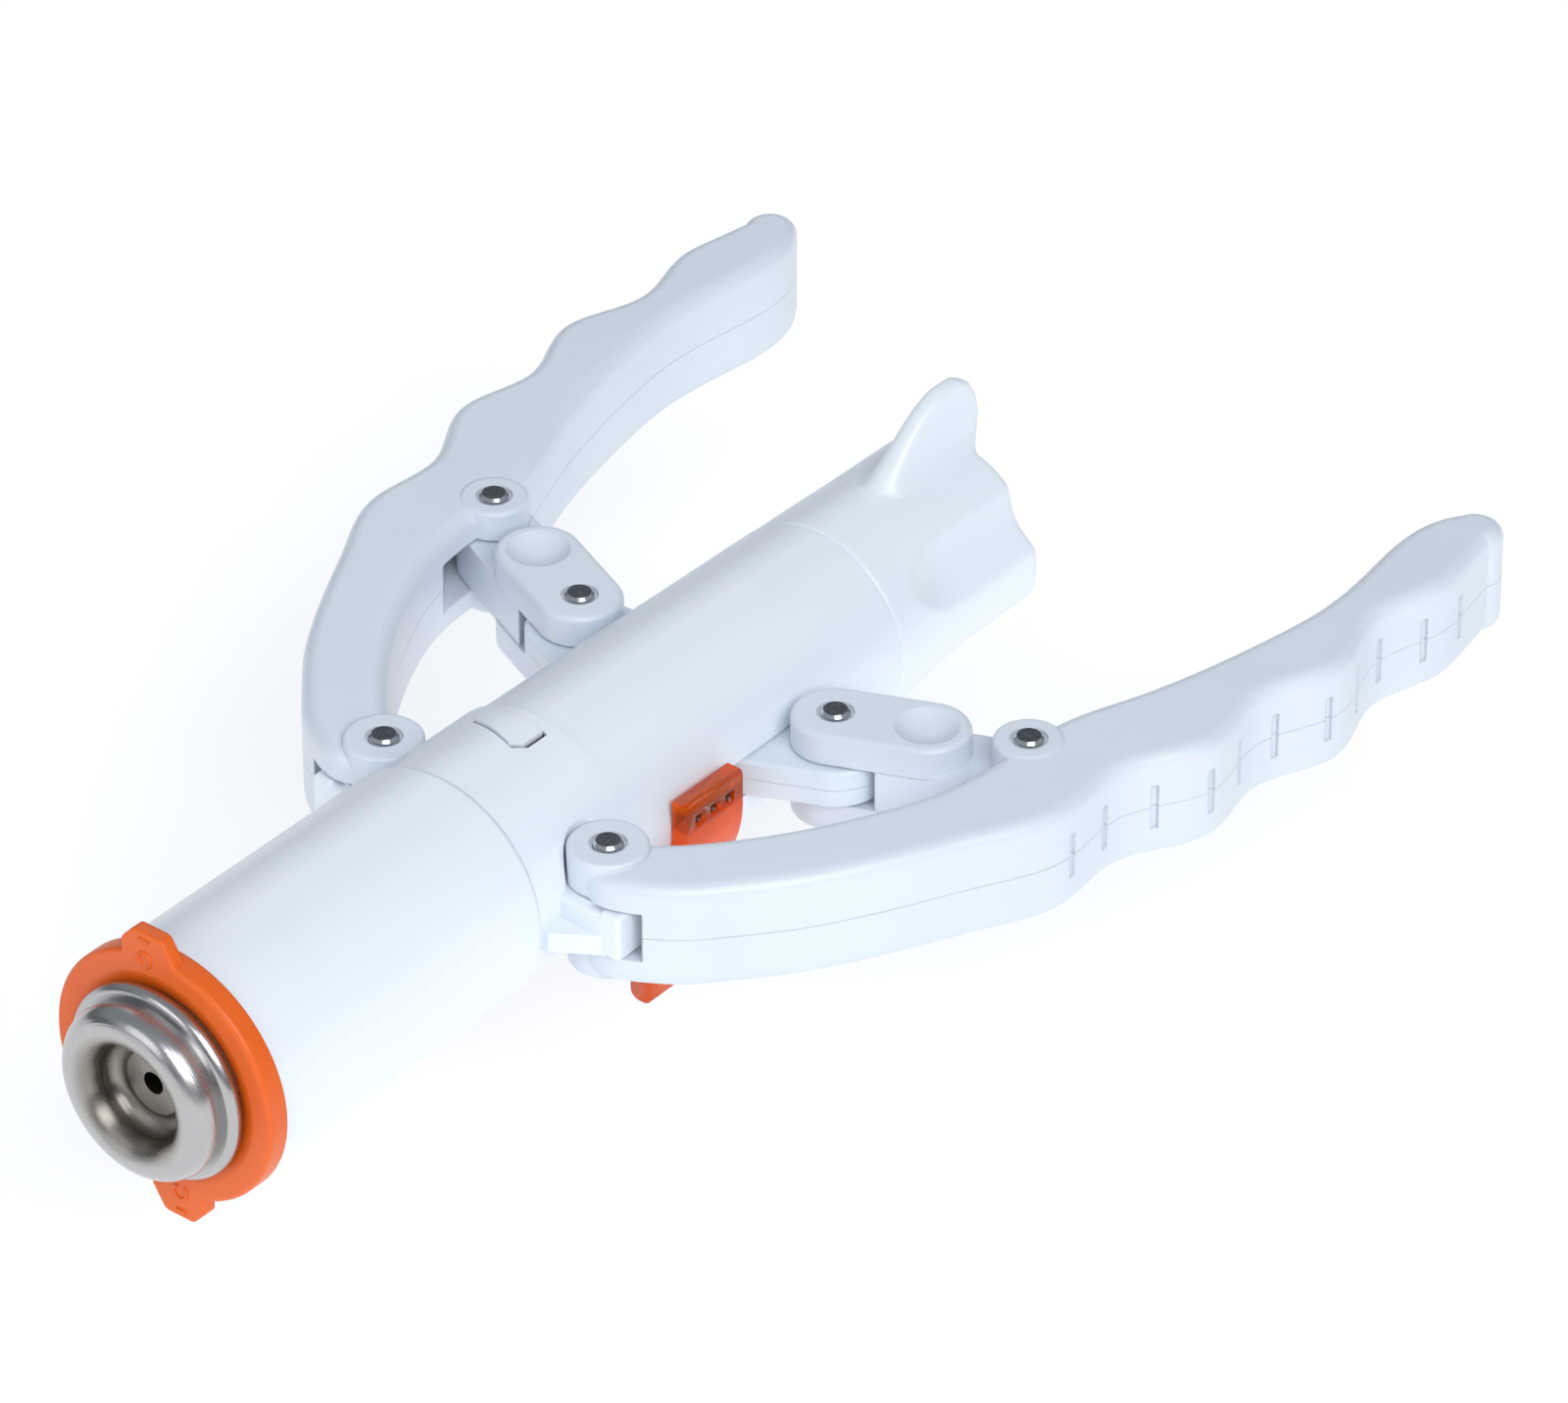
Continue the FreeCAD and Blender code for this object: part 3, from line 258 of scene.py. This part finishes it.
def turned_steel(name, colour, roughness, ring_pitch, strength, dish=None):
    """Metal turned about the body axis, with fine rings and smudges, and painted shade darkening a dish."""
    material, tree, shader = new_material(name, colour, roughness, 1.0)
    place = axes(tree)
    radius = axis_distance(tree, place)
    if dish:
        # Painted shade: the dish's hollow is darkened in the base colour.
        inner, outer, dish_shade_colour = dish
        in_dish_shade = spread(tree, radius, 1.0, 0.0, inner, outer)
        tree.links.new(mix_colours(tree, in_dish_shade, colour, dish_shade_colour), shader.inputs["Base Color"])
    along = math_node(tree, "SUBTRACT", radius, place["X"])
    lines = math_node(tree, "SINE", product(tree, along, 2 * math.pi / ring_pitch))
    ridges = product(tree, lines, noise(tree, 300.0, 3.0))
    bump(tree, shader, ridges, strength, ring_pitch * RIDGE_DEPTH)
    smudge = spread(tree, noise(tree, 120.0, 4.0, 0.6), roughness - 0.06, roughness + 0.1, 0.3, 0.7)
    tree.links.new(smudge, shader.inputs["Roughness"])
    return material


def pin_steel():
    """Dark flat ends, with a painted highlight on the chamfer round them, chosen by how upright the normal
    is.
    """
    material, tree, shader = new_material("pin_metal", (0.10, 0.11, 0.13), 0.35, 1.0)
    normal = add(tree, "ShaderNodeSeparateXYZ")
    tree.links.new(add(tree, "ShaderNodeNewGeometry").outputs["Normal"], normal.inputs["Vector"])
    upright = math_node(tree, "ABSOLUTE", normal.outputs["Z"])
    flat = spread(tree, upright, 0.0, 1.0, *PIN_FACE)
    worn = spread(tree, noise(tree, 2500.0, 4.0), 0.0, 1.0, 0.4, 0.8)
    face = mix_colours(tree, worn, *PIN_FACE_COLOURS)
    # Painted highlight: faces that lean away from upright get the bright chamfer colour.
    tree.links.new(mix_colours(tree, flat, PIN_CHAMFER_HIGHLIGHT, face), shader.inputs["Base Color"])
    tree.links.new(spread(tree, flat, 0.16, 0.42), shader.inputs["Roughness"])
    bump(tree, shader, noise(tree, 4000.0, 3.0), 0.2, 0.03 * MM)
    return material


# Translucent orange of the safety catch, with painted shade in three pockets in each flank and the band they
# lie in, and a faint painted glow

CATCH_IOR = 1.33
CATCH_CLEAR = 0.6
CATCH_PAINTED_GLOW = 0.05
POCKET_CLEAR = 0.1
POCKET_FOOT = (0.3 * MM, 1.1 * MM)
POCKET_TOP = (3.0 * MM, 3.9 * MM)
POCKET_DEPTH = (0.6 * MM, 0.35 * MM)     # below the flank's face, where the painted shade begins and is full
POCKET_SHADE = 0.65
CATCH_AND_SHADE_COLOURS = ((0.92, 0.13, 0.0), (0.46, 0.045, 0.0))
POCKET_SHADE_COLOUR = (0.09, 0.022, 0.004)
PAINTED_GLOW_COLOURS = ((1.0, 0.13, 0.0), (0.2, 0.02, 0.0))


def clear_orange():
    """Painted shade, dark in the pockets and darker and streaky in the band that they lie in; a faint painted
    glow, dimmer there.
    """
    material, tree, shader = new_material("catch_moulding", (1.0, 0.24, 0.0), 0.09)
    low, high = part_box("safety_catch")
    place = axes(tree)
    streak = spread(tree, noise(tree, 420.0, 3.0), -0.3 * MM, 0.3 * MM, 0.3, 0.7)
    height = math_node(tree, "ADD", place["Z"], streak)
    above = spread(tree, height, 0.0, 1.0, *POCKET_FOOT)
    below = spread(tree, height, 1.0, 0.0, *POCKET_TOP)
    band = product(tree, above, below)
    # Painted shade: the catch's colour darkens in the band of the pockets.
    colour = mix_colours(tree, product(tree, band, POCKET_SHADE), *CATCH_AND_SHADE_COLOURS)
    inward = math_node(tree, "ABSOLUTE", place["Y"])
    deep = spread(tree, inward, 1.0, 0.0, high[1] - POCKET_DEPTH[0], high[1] - POCKET_DEPTH[1])
    behind_front = spread(tree, place["X"], 0.0, 1.0, low[0] + 0.9 * MM, low[0] + 1.0 * MM)
    ahead_of_back = spread(tree, place["X"], 1.0, 0.0, high[0] - 1.0 * MM, high[0] - 0.9 * MM)
    pocket_shade = product(tree, behind_front, ahead_of_back, deep, band)
    # Painted shade: the pockets' floors, behind the flank's face, go dark brown.
    tree.links.new(mix_colours(tree, pocket_shade, colour, POCKET_SHADE_COLOUR), shader.inputs["Base Color"])
    tree.links.new(spread(tree, pocket_shade, CATCH_CLEAR, POCKET_CLEAR), shader.inputs["Transmission Weight"])
    # Painted glow: a faint orange emission standing in for light through the plastic, dimmer in the pockets
    # and their band.
    painted_glow = mix_colours(tree, math_node(tree, "MAXIMUM", pocket_shade, band), *PAINTED_GLOW_COLOURS)
    tree.links.new(painted_glow, shader.inputs["Emission Color"])
    shader.inputs["Emission Strength"].default_value = CATCH_PAINTED_GLOW
    shader.inputs["IOR"].default_value = CATCH_IOR
    bump(tree, shader, noise(tree, 500.0, 2.0), 0.15, 0.03 * MM)
    return material


# Every CAD node gets its look

WHITE = (0.69, 0.76, 0.84)
WHITE_SHADE = (0.67, 0.74, 0.825)
BODY_WHITE = (0.80, 0.865, 0.935)
BODY_SHADE = (0.785, 0.85, 0.925)
RING = (0.80, 0.125, 0.004)
RING_SHADE = (0.75, 0.108, 0.003)
materials = {
    "body_white": moulded_plastic("body_moulding", BODY_WHITE, BODY_SHADE, 0.3, edge=0, lock=True),
    "handle_white": moulded_plastic("handle_moulding", WHITE, WHITE_SHADE, 0.33, edge_highlight=EDGE_HIGHLIGHT, seam=True),
    "link_white": moulded_plastic("link_moulding", WHITE, WHITE_SHADE, 0.33, edge_highlight=EDGE_HIGHLIGHT),
    "cartridge_white": moulded_plastic("cartridge_moulding", (0.75, 0.80, 0.84), (0.70, 0.76, 0.81), 0.4),
    "pusher_white": moulded_plastic("pusher_moulding", (0.72, 0.81, 0.88), (0.68, 0.77, 0.85), 0.36),
    "ring_orange": moulded_plastic("ring_moulding", RING, RING_SHADE, 0.42, skin=0.04 * MM),
    "catch_orange": clear_orange(),
    "bell_steel": turned_steel("bell_metal", BELL_METAL, 0.26, 0.18 * MM, 0.3, BELL_DISH_SHADE),
    "bar_steel": turned_steel("bar_metal", (0.55, 0.55, 0.56), 0.28, 0.4 * MM, 0.2),
    "knife_steel": turned_steel("knife_metal", (0.62, 0.63, 0.65), 0.24, 0.3 * MM, 0.2),
    "staple_wire": turned_steel("staple_metal", (0.66, 0.65, 0.63), 0.25, 0.4 * MM, 0.1),
    "nut_brass": turned_steel("nut_metal", (0.66, 0.46, 0.17), 0.3, 0.4 * MM, 0.2),
    "pin_steel": pin_steel(),
    "washer_nylon": moulded_plastic("washer_moulding", (0.70, 0.68, 0.60), (0.64, 0.62, 0.54), 0.5),
}
for part in frame["record"]["subparts"]:
    look = part["material_slot"]
    if "_handle_" in part["node"] and "pin" not in part["node"]:
        look = "handle_white"
    elif part["node"].endswith("_link"):
        look = "link_white"
    node_materials = nodes[part["node"]].data.materials
    node_materials.clear()
    node_materials.append(materials[look])


def new_piece(name, mesh):
    """A mesh object in the scene, made from a bmesh, which it frees."""
    data = bpy.data.meshes.new(name)
    mesh.to_mesh(data)
    mesh.free()
    piece = bpy.data.objects.new(name, data)
    bpy.context.scene.collection.objects.link(piece)
    return piece


# The knob is moulded afresh here: a plain band, four shallow flutes and a thumb fin that grows out of it

KNOB_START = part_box("rear_tube")[1][0] + 0.3 * MM
KNOB_END = KNOB_START + 28.6 * MM
KNOB_BAND_R = 14.1 * MM
KNOB_REAR_R = 13.9 * MM
KNOB_BREAK = 0.3 * MM        # chamfer at the front edge of the band
KNOB_ROUND = 1.2 * MM
ROUND_STEPS = 6
KNOB_SPIGOT = (KNOB_START - 6.3 * MM, 10.2 * MM)
NUT_SEAT = (KNOB_START + 3.7 * MM, 6.1 * MM)
ROD_BORE = (KNOB_START + 26.7 * MM, 3.3 * MM)
MIDDLE_R = 0.2 * MM          # the rings close this near the axis
HOLLOW_DEPTH = 1.2 * MM
HOLLOW_RIM = 3.5 * MM
FLUTES = ((60, 19), (132, 25), (228, 25), (300, 19))     # middle and half width, in degrees from the top
FLUTE_DEPTH = 1.9 * MM
FLUTE_START = KNOB_START + 5.0 * MM
FLUTE_RUN_IN = 9.0 * MM
KNOB_SIDES = 180
KNOB_STEPS = 40
FIN_FOOT_HALF = 5.6 * MM
FIN_NECK_HALF = 2.1 * MM
FIN_TIP_HALF = 1.15 * MM
FIN_SLIM_OVER = 11 * MM      # height over which neck thins to tip
FIN_CROWN = 0.6              # the last slice's share of that thickness
FIN_FLARE_Z = 12.4 * MM
FIN_FLARE_FADE = 1.1 * MM
# millimetres: height above the axis, then front edge and rear edge behind the knob's start
FIN_OUTLINE = ((11.0, 8.6, 28.4), (12.4, 9.4, 29.6), (13.6, 10.9, 30.8),
               (15.2, 12.6, 31.7), (17.4, 15.2, 32.1), (19.6, 17.9, 31.7),
               (21.4, 20.4, 30.6), (22.5, 22.5, 29.2), (23.1, 24.2, 27.8))
FIN_ENDS = 12
WRAP_VOXEL = 0.32 * MM
EASE_STEPS = 8


def flute_cut(x, angle):
    """Depth of the flutes at a place along the knob and an angle from its top."""
    turn = math.degrees(angle)
    across = min(abs((turn - centre + 180) % 360 - 180) / half for centre, half in FLUTES)
    along = (x - FLUTE_START) / FLUTE_RUN_IN
    reach = 1 - across * across - max(0.0, 1 - max(along, 0.0)) ** 2
    return FLUTE_DEPTH * max(0.0, reach)


def knob_profile():
    """Points (x, radius) of the knob from its blind bore, out round the front and back to the rear face."""
    profile = [(ROD_BORE[0], MIDDLE_R), ROD_BORE, (NUT_SEAT[0], ROD_BORE[1]), NUT_SEAT,
               (KNOB_SPIGOT[0], NUT_SEAT[1]), KNOB_SPIGOT, (KNOB_START, KNOB_SPIGOT[1]),
               (KNOB_START, KNOB_BAND_R - KNOB_BREAK), (KNOB_START + KNOB_BREAK, KNOB_BAND_R)]
    last = KNOB_END - KNOB_ROUND
    for i in range(1, KNOB_STEPS + 1):
        share = i / KNOB_STEPS
        x = KNOB_START + (last - KNOB_START) * share
        profile.append((x, KNOB_BAND_R + (KNOB_REAR_R - KNOB_BAND_R) * share))
    for i in range(1, ROUND_STEPS + 1):
        turn = math.pi / 2 * i / ROUND_STEPS
        profile.append((last + KNOB_ROUND * math.sin(turn), KNOB_REAR_R - KNOB_ROUND * (1 - math.cos(turn))))
    hollow = KNOB_REAR_R - HOLLOW_RIM
    floor = KNOB_END - HOLLOW_DEPTH
    profile += [(KNOB_END, hollow), (floor, hollow - HOLLOW_DEPTH), (floor, MIDDLE_R)]
    return profile


def loft(mesh, rings):
    """Join closed rings of points with quads and close both ends."""
    rows = [[mesh.verts.new(point) for point in ring] for ring in rings]
    count = len(rows[0])
    for one, other in zip(rows, rows[1:]):
        for i in range(count):
            mesh.faces.new((one[i], one[(i + 1) % count], other[(i + 1) % count], other[i]))
    mesh.faces.new(list(reversed(rows[0])))
    mesh.faces.new(rows[-1])


def knob_body_rings():
    """The profile turned about the axis, with the flutes taken off its outer side."""
    rings = []
    for x, radius in knob_profile():
        outside = radius > KNOB_REAR_R - 2 * KNOB_ROUND
        ring = []
        for i in range(KNOB_SIDES):
            angle = 2 * math.pi * i / KNOB_SIDES
            r = radius - (flute_cut(x, angle) if outside else 0)
            ring.append((x, r * math.sin(angle), r * math.cos(angle)))
        rings.append(ring)
    return rings


def fin_rings():
    """Level slices of the fin, each a slot shape, wide at the foot and slim at the tip."""
    rings = []
    top = FIN_OUTLINE[-1][0] * MM
    for height, front, rear in FIN_OUTLINE:
        z = height * MM
        flare = (FIN_FOOT_HALF - FIN_NECK_HALF) * math.exp(-max(0.0, z - FIN_FLARE_Z) / FIN_FLARE_FADE)
        half = FIN_TIP_HALF + (FIN_NECK_HALF - FIN_TIP_HALF) * (top - z) / FIN_SLIM_OVER + flare
        if height == FIN_OUTLINE[-1][0]:
            half *= FIN_CROWN
        bow = min(half, 0.5 * (rear - front) * MM)
        ring = []
        for i in range(2 * FIN_ENDS):
            turn = math.pi * (i % FIN_ENDS) / (FIN_ENDS - 1)
            if i < FIN_ENDS:
                x = KNOB_START + rear * MM - bow + bow * math.sin(turn)
                y = half * math.cos(turn)
            else:
                x = KNOB_START + front * MM + bow - bow * math.sin(turn)
                y = -half * math.cos(turn)
            ring.append((x, y, z))
        rings.append(ring)
    return rings


def moulded_knob():
    """Body and fin wrapped in one skin, eased so that the fin's foot runs into the band."""
    mesh = bmesh.new()
    loft(mesh, knob_body_rings())
    loft(mesh, fin_rings())
    bmesh.ops.recalc_face_normals(mesh, faces=mesh.faces)
    piece = new_piece("knob_moulding", mesh)
    wrap = piece.modifiers.new("wrap", "REMESH")
    wrap.mode = "VOXEL"
    wrap.voxel_size = WRAP_VOXEL
    wrap.use_smooth_shade = True
    ease = piece.modifiers.new("ease", "SMOOTH")
    ease.factor = 0.5
    ease.iterations = EASE_STEPS
    piece.data.materials.append(materials["body_white"])
    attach(piece, "knob")
    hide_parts("knob")


moulded_knob()


# The safety catch, its far flank cut lower than the near one, since none of it shows above the tube

CATCH_FAR_TOP = 0.9 * MM
CATCH_WELD = 0.001 * MM
CATCH_SHARP = math.radians(30)


def lowered_catch():
    """The CAD's catch as a new mesh, cut off level on its far side and closed again."""
    mesh = bmesh.new()
    mesh.from_mesh(nodes["safety_catch"].data)
    bmesh.ops.remove_doubles(mesh, verts=mesh.verts, dist=CATCH_WELD)
    far = [face for face in mesh.faces if face.calc_center_median().y > 0]
    edges = {edge for face in far for edge in face.edges}
    corners = {corner for face in far for corner in face.verts}
    cut = bmesh.ops.bisect_plane(mesh, geom=far + list(edges) + list(corners), plane_co=(0, 0, CATCH_FAR_TOP),
                                 plane_no=(0, 0, 1), clear_outer=True)
    rim = [item for item in cut["geom_cut"] if isinstance(item, bmesh.types.BMEdge)]
    bmesh.ops.holes_fill(mesh, edges=rim, sides=0)
    bmesh.ops.recalc_face_normals(mesh, faces=mesh.faces)
    piece = new_piece("catch_moulding", mesh)
    piece.data.set_sharp_from_angle(angle=CATCH_SHARP)
    piece.data.materials.append(materials["catch_orange"])
    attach(piece, "catch")
    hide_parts("safety_catch")


lowered_catch()


# Raised marks on the ring's tabs: a short bar over an open round, the same on both tabs

MARK_WIRE = 0.22 * MM
MARK_X = -0.02 * MM
BAR_ENDS = ((2.9 * MM, 18.9 * MM), (1.3 * MM, 18.9 * MM))
ROUND_CENTRE = (2.1 * MM, 16.1 * MM)
ROUND_R = 1.0 * MM
ROUND_POINTS = 14
ROUND_FROM = -60
ROUND_SWEEP = 300


def raised_line(name, points):
    """A rounded raised line through points of the ring's front face."""
    curve = bpy.data.curves.new(name, "CURVE")
    curve.dimensions = "3D"
    curve.bevel_depth = MARK_WIRE
    curve.bevel_resolution = 3
    curve.use_fill_caps = True
    spline = curve.splines.new("POLY")
    spline.points.add(len(points) - 1)
    for point, (y, z) in zip(spline.points, points):
        point.co = (MARK_X, y, z, 1)
    line = bpy.data.objects.new(name, curve)
    bpy.context.scene.collection.objects.link(line)
    curve.materials.append(materials["ring_orange"])
    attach(line, "housing")


def open_round():
    turns = [math.radians(ROUND_FROM + ROUND_SWEEP * i / (ROUND_POINTS - 1)) for i in range(ROUND_POINTS)]
    return [(ROUND_CENTRE[0] + ROUND_R * math.cos(a), ROUND_CENTRE[1] + ROUND_R * math.sin(a)) for a in turns]


for tab, side in (("upper", 1), ("lower", -1)):
    raised_line(f"{tab}_tab_bar", [(side * y, side * z) for y, z in BAR_ENDS])
    raised_line(f"{tab}_tab_round", [(side * y, side * z) for y, z in open_round()])


# Stage and light

FLOOR_DROP = 25.3 * MM       # below the object, low enough to leave the taken-off catch in sight
FLOOR_REACH = 4.0
FLOOR_PAPER = (0.82, 0.82, 0.82)
FLOOR_GLOW = 0.42
WALL_LOW = (0.26, 0.27, 0.29)
WALL_HIGH = (0.86, 0.92, 1.0)
WALL_CLIMB = (0.05, 0.4)
WALL_STRENGTH = 0.42


def pale_floor(level):
    mesh = bpy.data.meshes.new("floor")
    signs = ((-1, -1), (1, -1), (1, 1), (-1, 1))
    mesh.from_pydata([(x * FLOOR_REACH, y * FLOOR_REACH, level) for x, y in signs], [], [(0, 1, 2, 3)])
    floor = bpy.data.objects.new("floor", mesh)
    bpy.context.scene.collection.objects.link(floor)
    material, tree, shader = new_material("floor_paper", FLOOR_PAPER, 0.9)
    shader.inputs["Emission Color"].default_value = (1, 1, 1, 1)
    shader.inputs["Emission Strength"].default_value = FLOOR_GLOW
    mesh.materials.append(material)


def studio_walls():
    """Grey low down and pale blue above, for the steel to mirror."""
    world = bpy.data.worlds.new("studio")
    bpy.context.scene.world = world
    world.use_nodes = True
    tree = world.node_tree
    direction = add(tree, "ShaderNodeSeparateXYZ")
    tree.links.new(add(tree, "ShaderNodeTexCoord").outputs["Generated"], direction.inputs["Vector"])
    climb = spread(tree, direction.outputs["Z"], 0.0, 1.0, *WALL_CLIMB)
    background = tree.nodes["Background"]
    tree.links.new(mix_colours(tree, climb, WALL_LOW, WALL_HIGH), background.inputs["Color"])
    background.inputs["Strength"].default_value = WALL_STRENGTH


def area_light(name, place, aim, size, power, colour=(1, 1, 1)):
    lamp = bpy.data.lights.new(name, "AREA")
    lamp.shape = "RECTANGLE"
    lamp.size, lamp.size_y = size
    lamp.energy = power
    lamp.color = colour
    holder = bpy.data.objects.new(name, lamp)
    holder.location = place
    holder.rotation_euler = (Vector(aim) - Vector(place)).to_track_quat("-Z", "Y").to_euler()
    bpy.context.scene.collection.objects.link(holder)


studio_walls()
pale_floor(cad_box[0][2] - FLOOR_DROP)
area_light("key", (-0.68, -1.25, 1.28), (0.08, 0, 0), (1.5, 1.1), 26.0, (1.0, 0.99, 0.98))
area_light("left", (-0.8, 0.25, 0.4), (0.0, 0, 0), (0.5, 0.5), 1.3)
area_light("back", (0.6, 0.5, 0.6), (0.1, 0, 0), (0.5, 0.4), 0.6)
bpy.context.scene.view_settings.view_transform = "Standard"


# Camera, at the photograph's angle

CAMERA_PLACE = (-0.67574, -0.64210, 0.69265)
CAMERA_FORWARD = (0.64024, 0.51882, -0.56650)
CAMERA_LENS = 225.0
CAMERA_SENSOR = 36.0
CAMERA_REACH = 20.0

camera_data = bpy.data.cameras.new("camera")
camera_data.sensor_fit = "HORIZONTAL"
camera_data.sensor_width = CAMERA_SENSOR
camera_data.lens = CAMERA_LENS
camera_data.clip_end = CAMERA_REACH
camera = bpy.data.objects.new("camera", camera_data)
bpy.context.scene.collection.objects.link(camera)
camera.location = CAMERA_PLACE
camera.rotation_euler = Vector(CAMERA_FORWARD).to_track_quat("-Z", "Y").to_euler()
bpy.context.scene.camera = camera

bpy.context.view_layer.update()
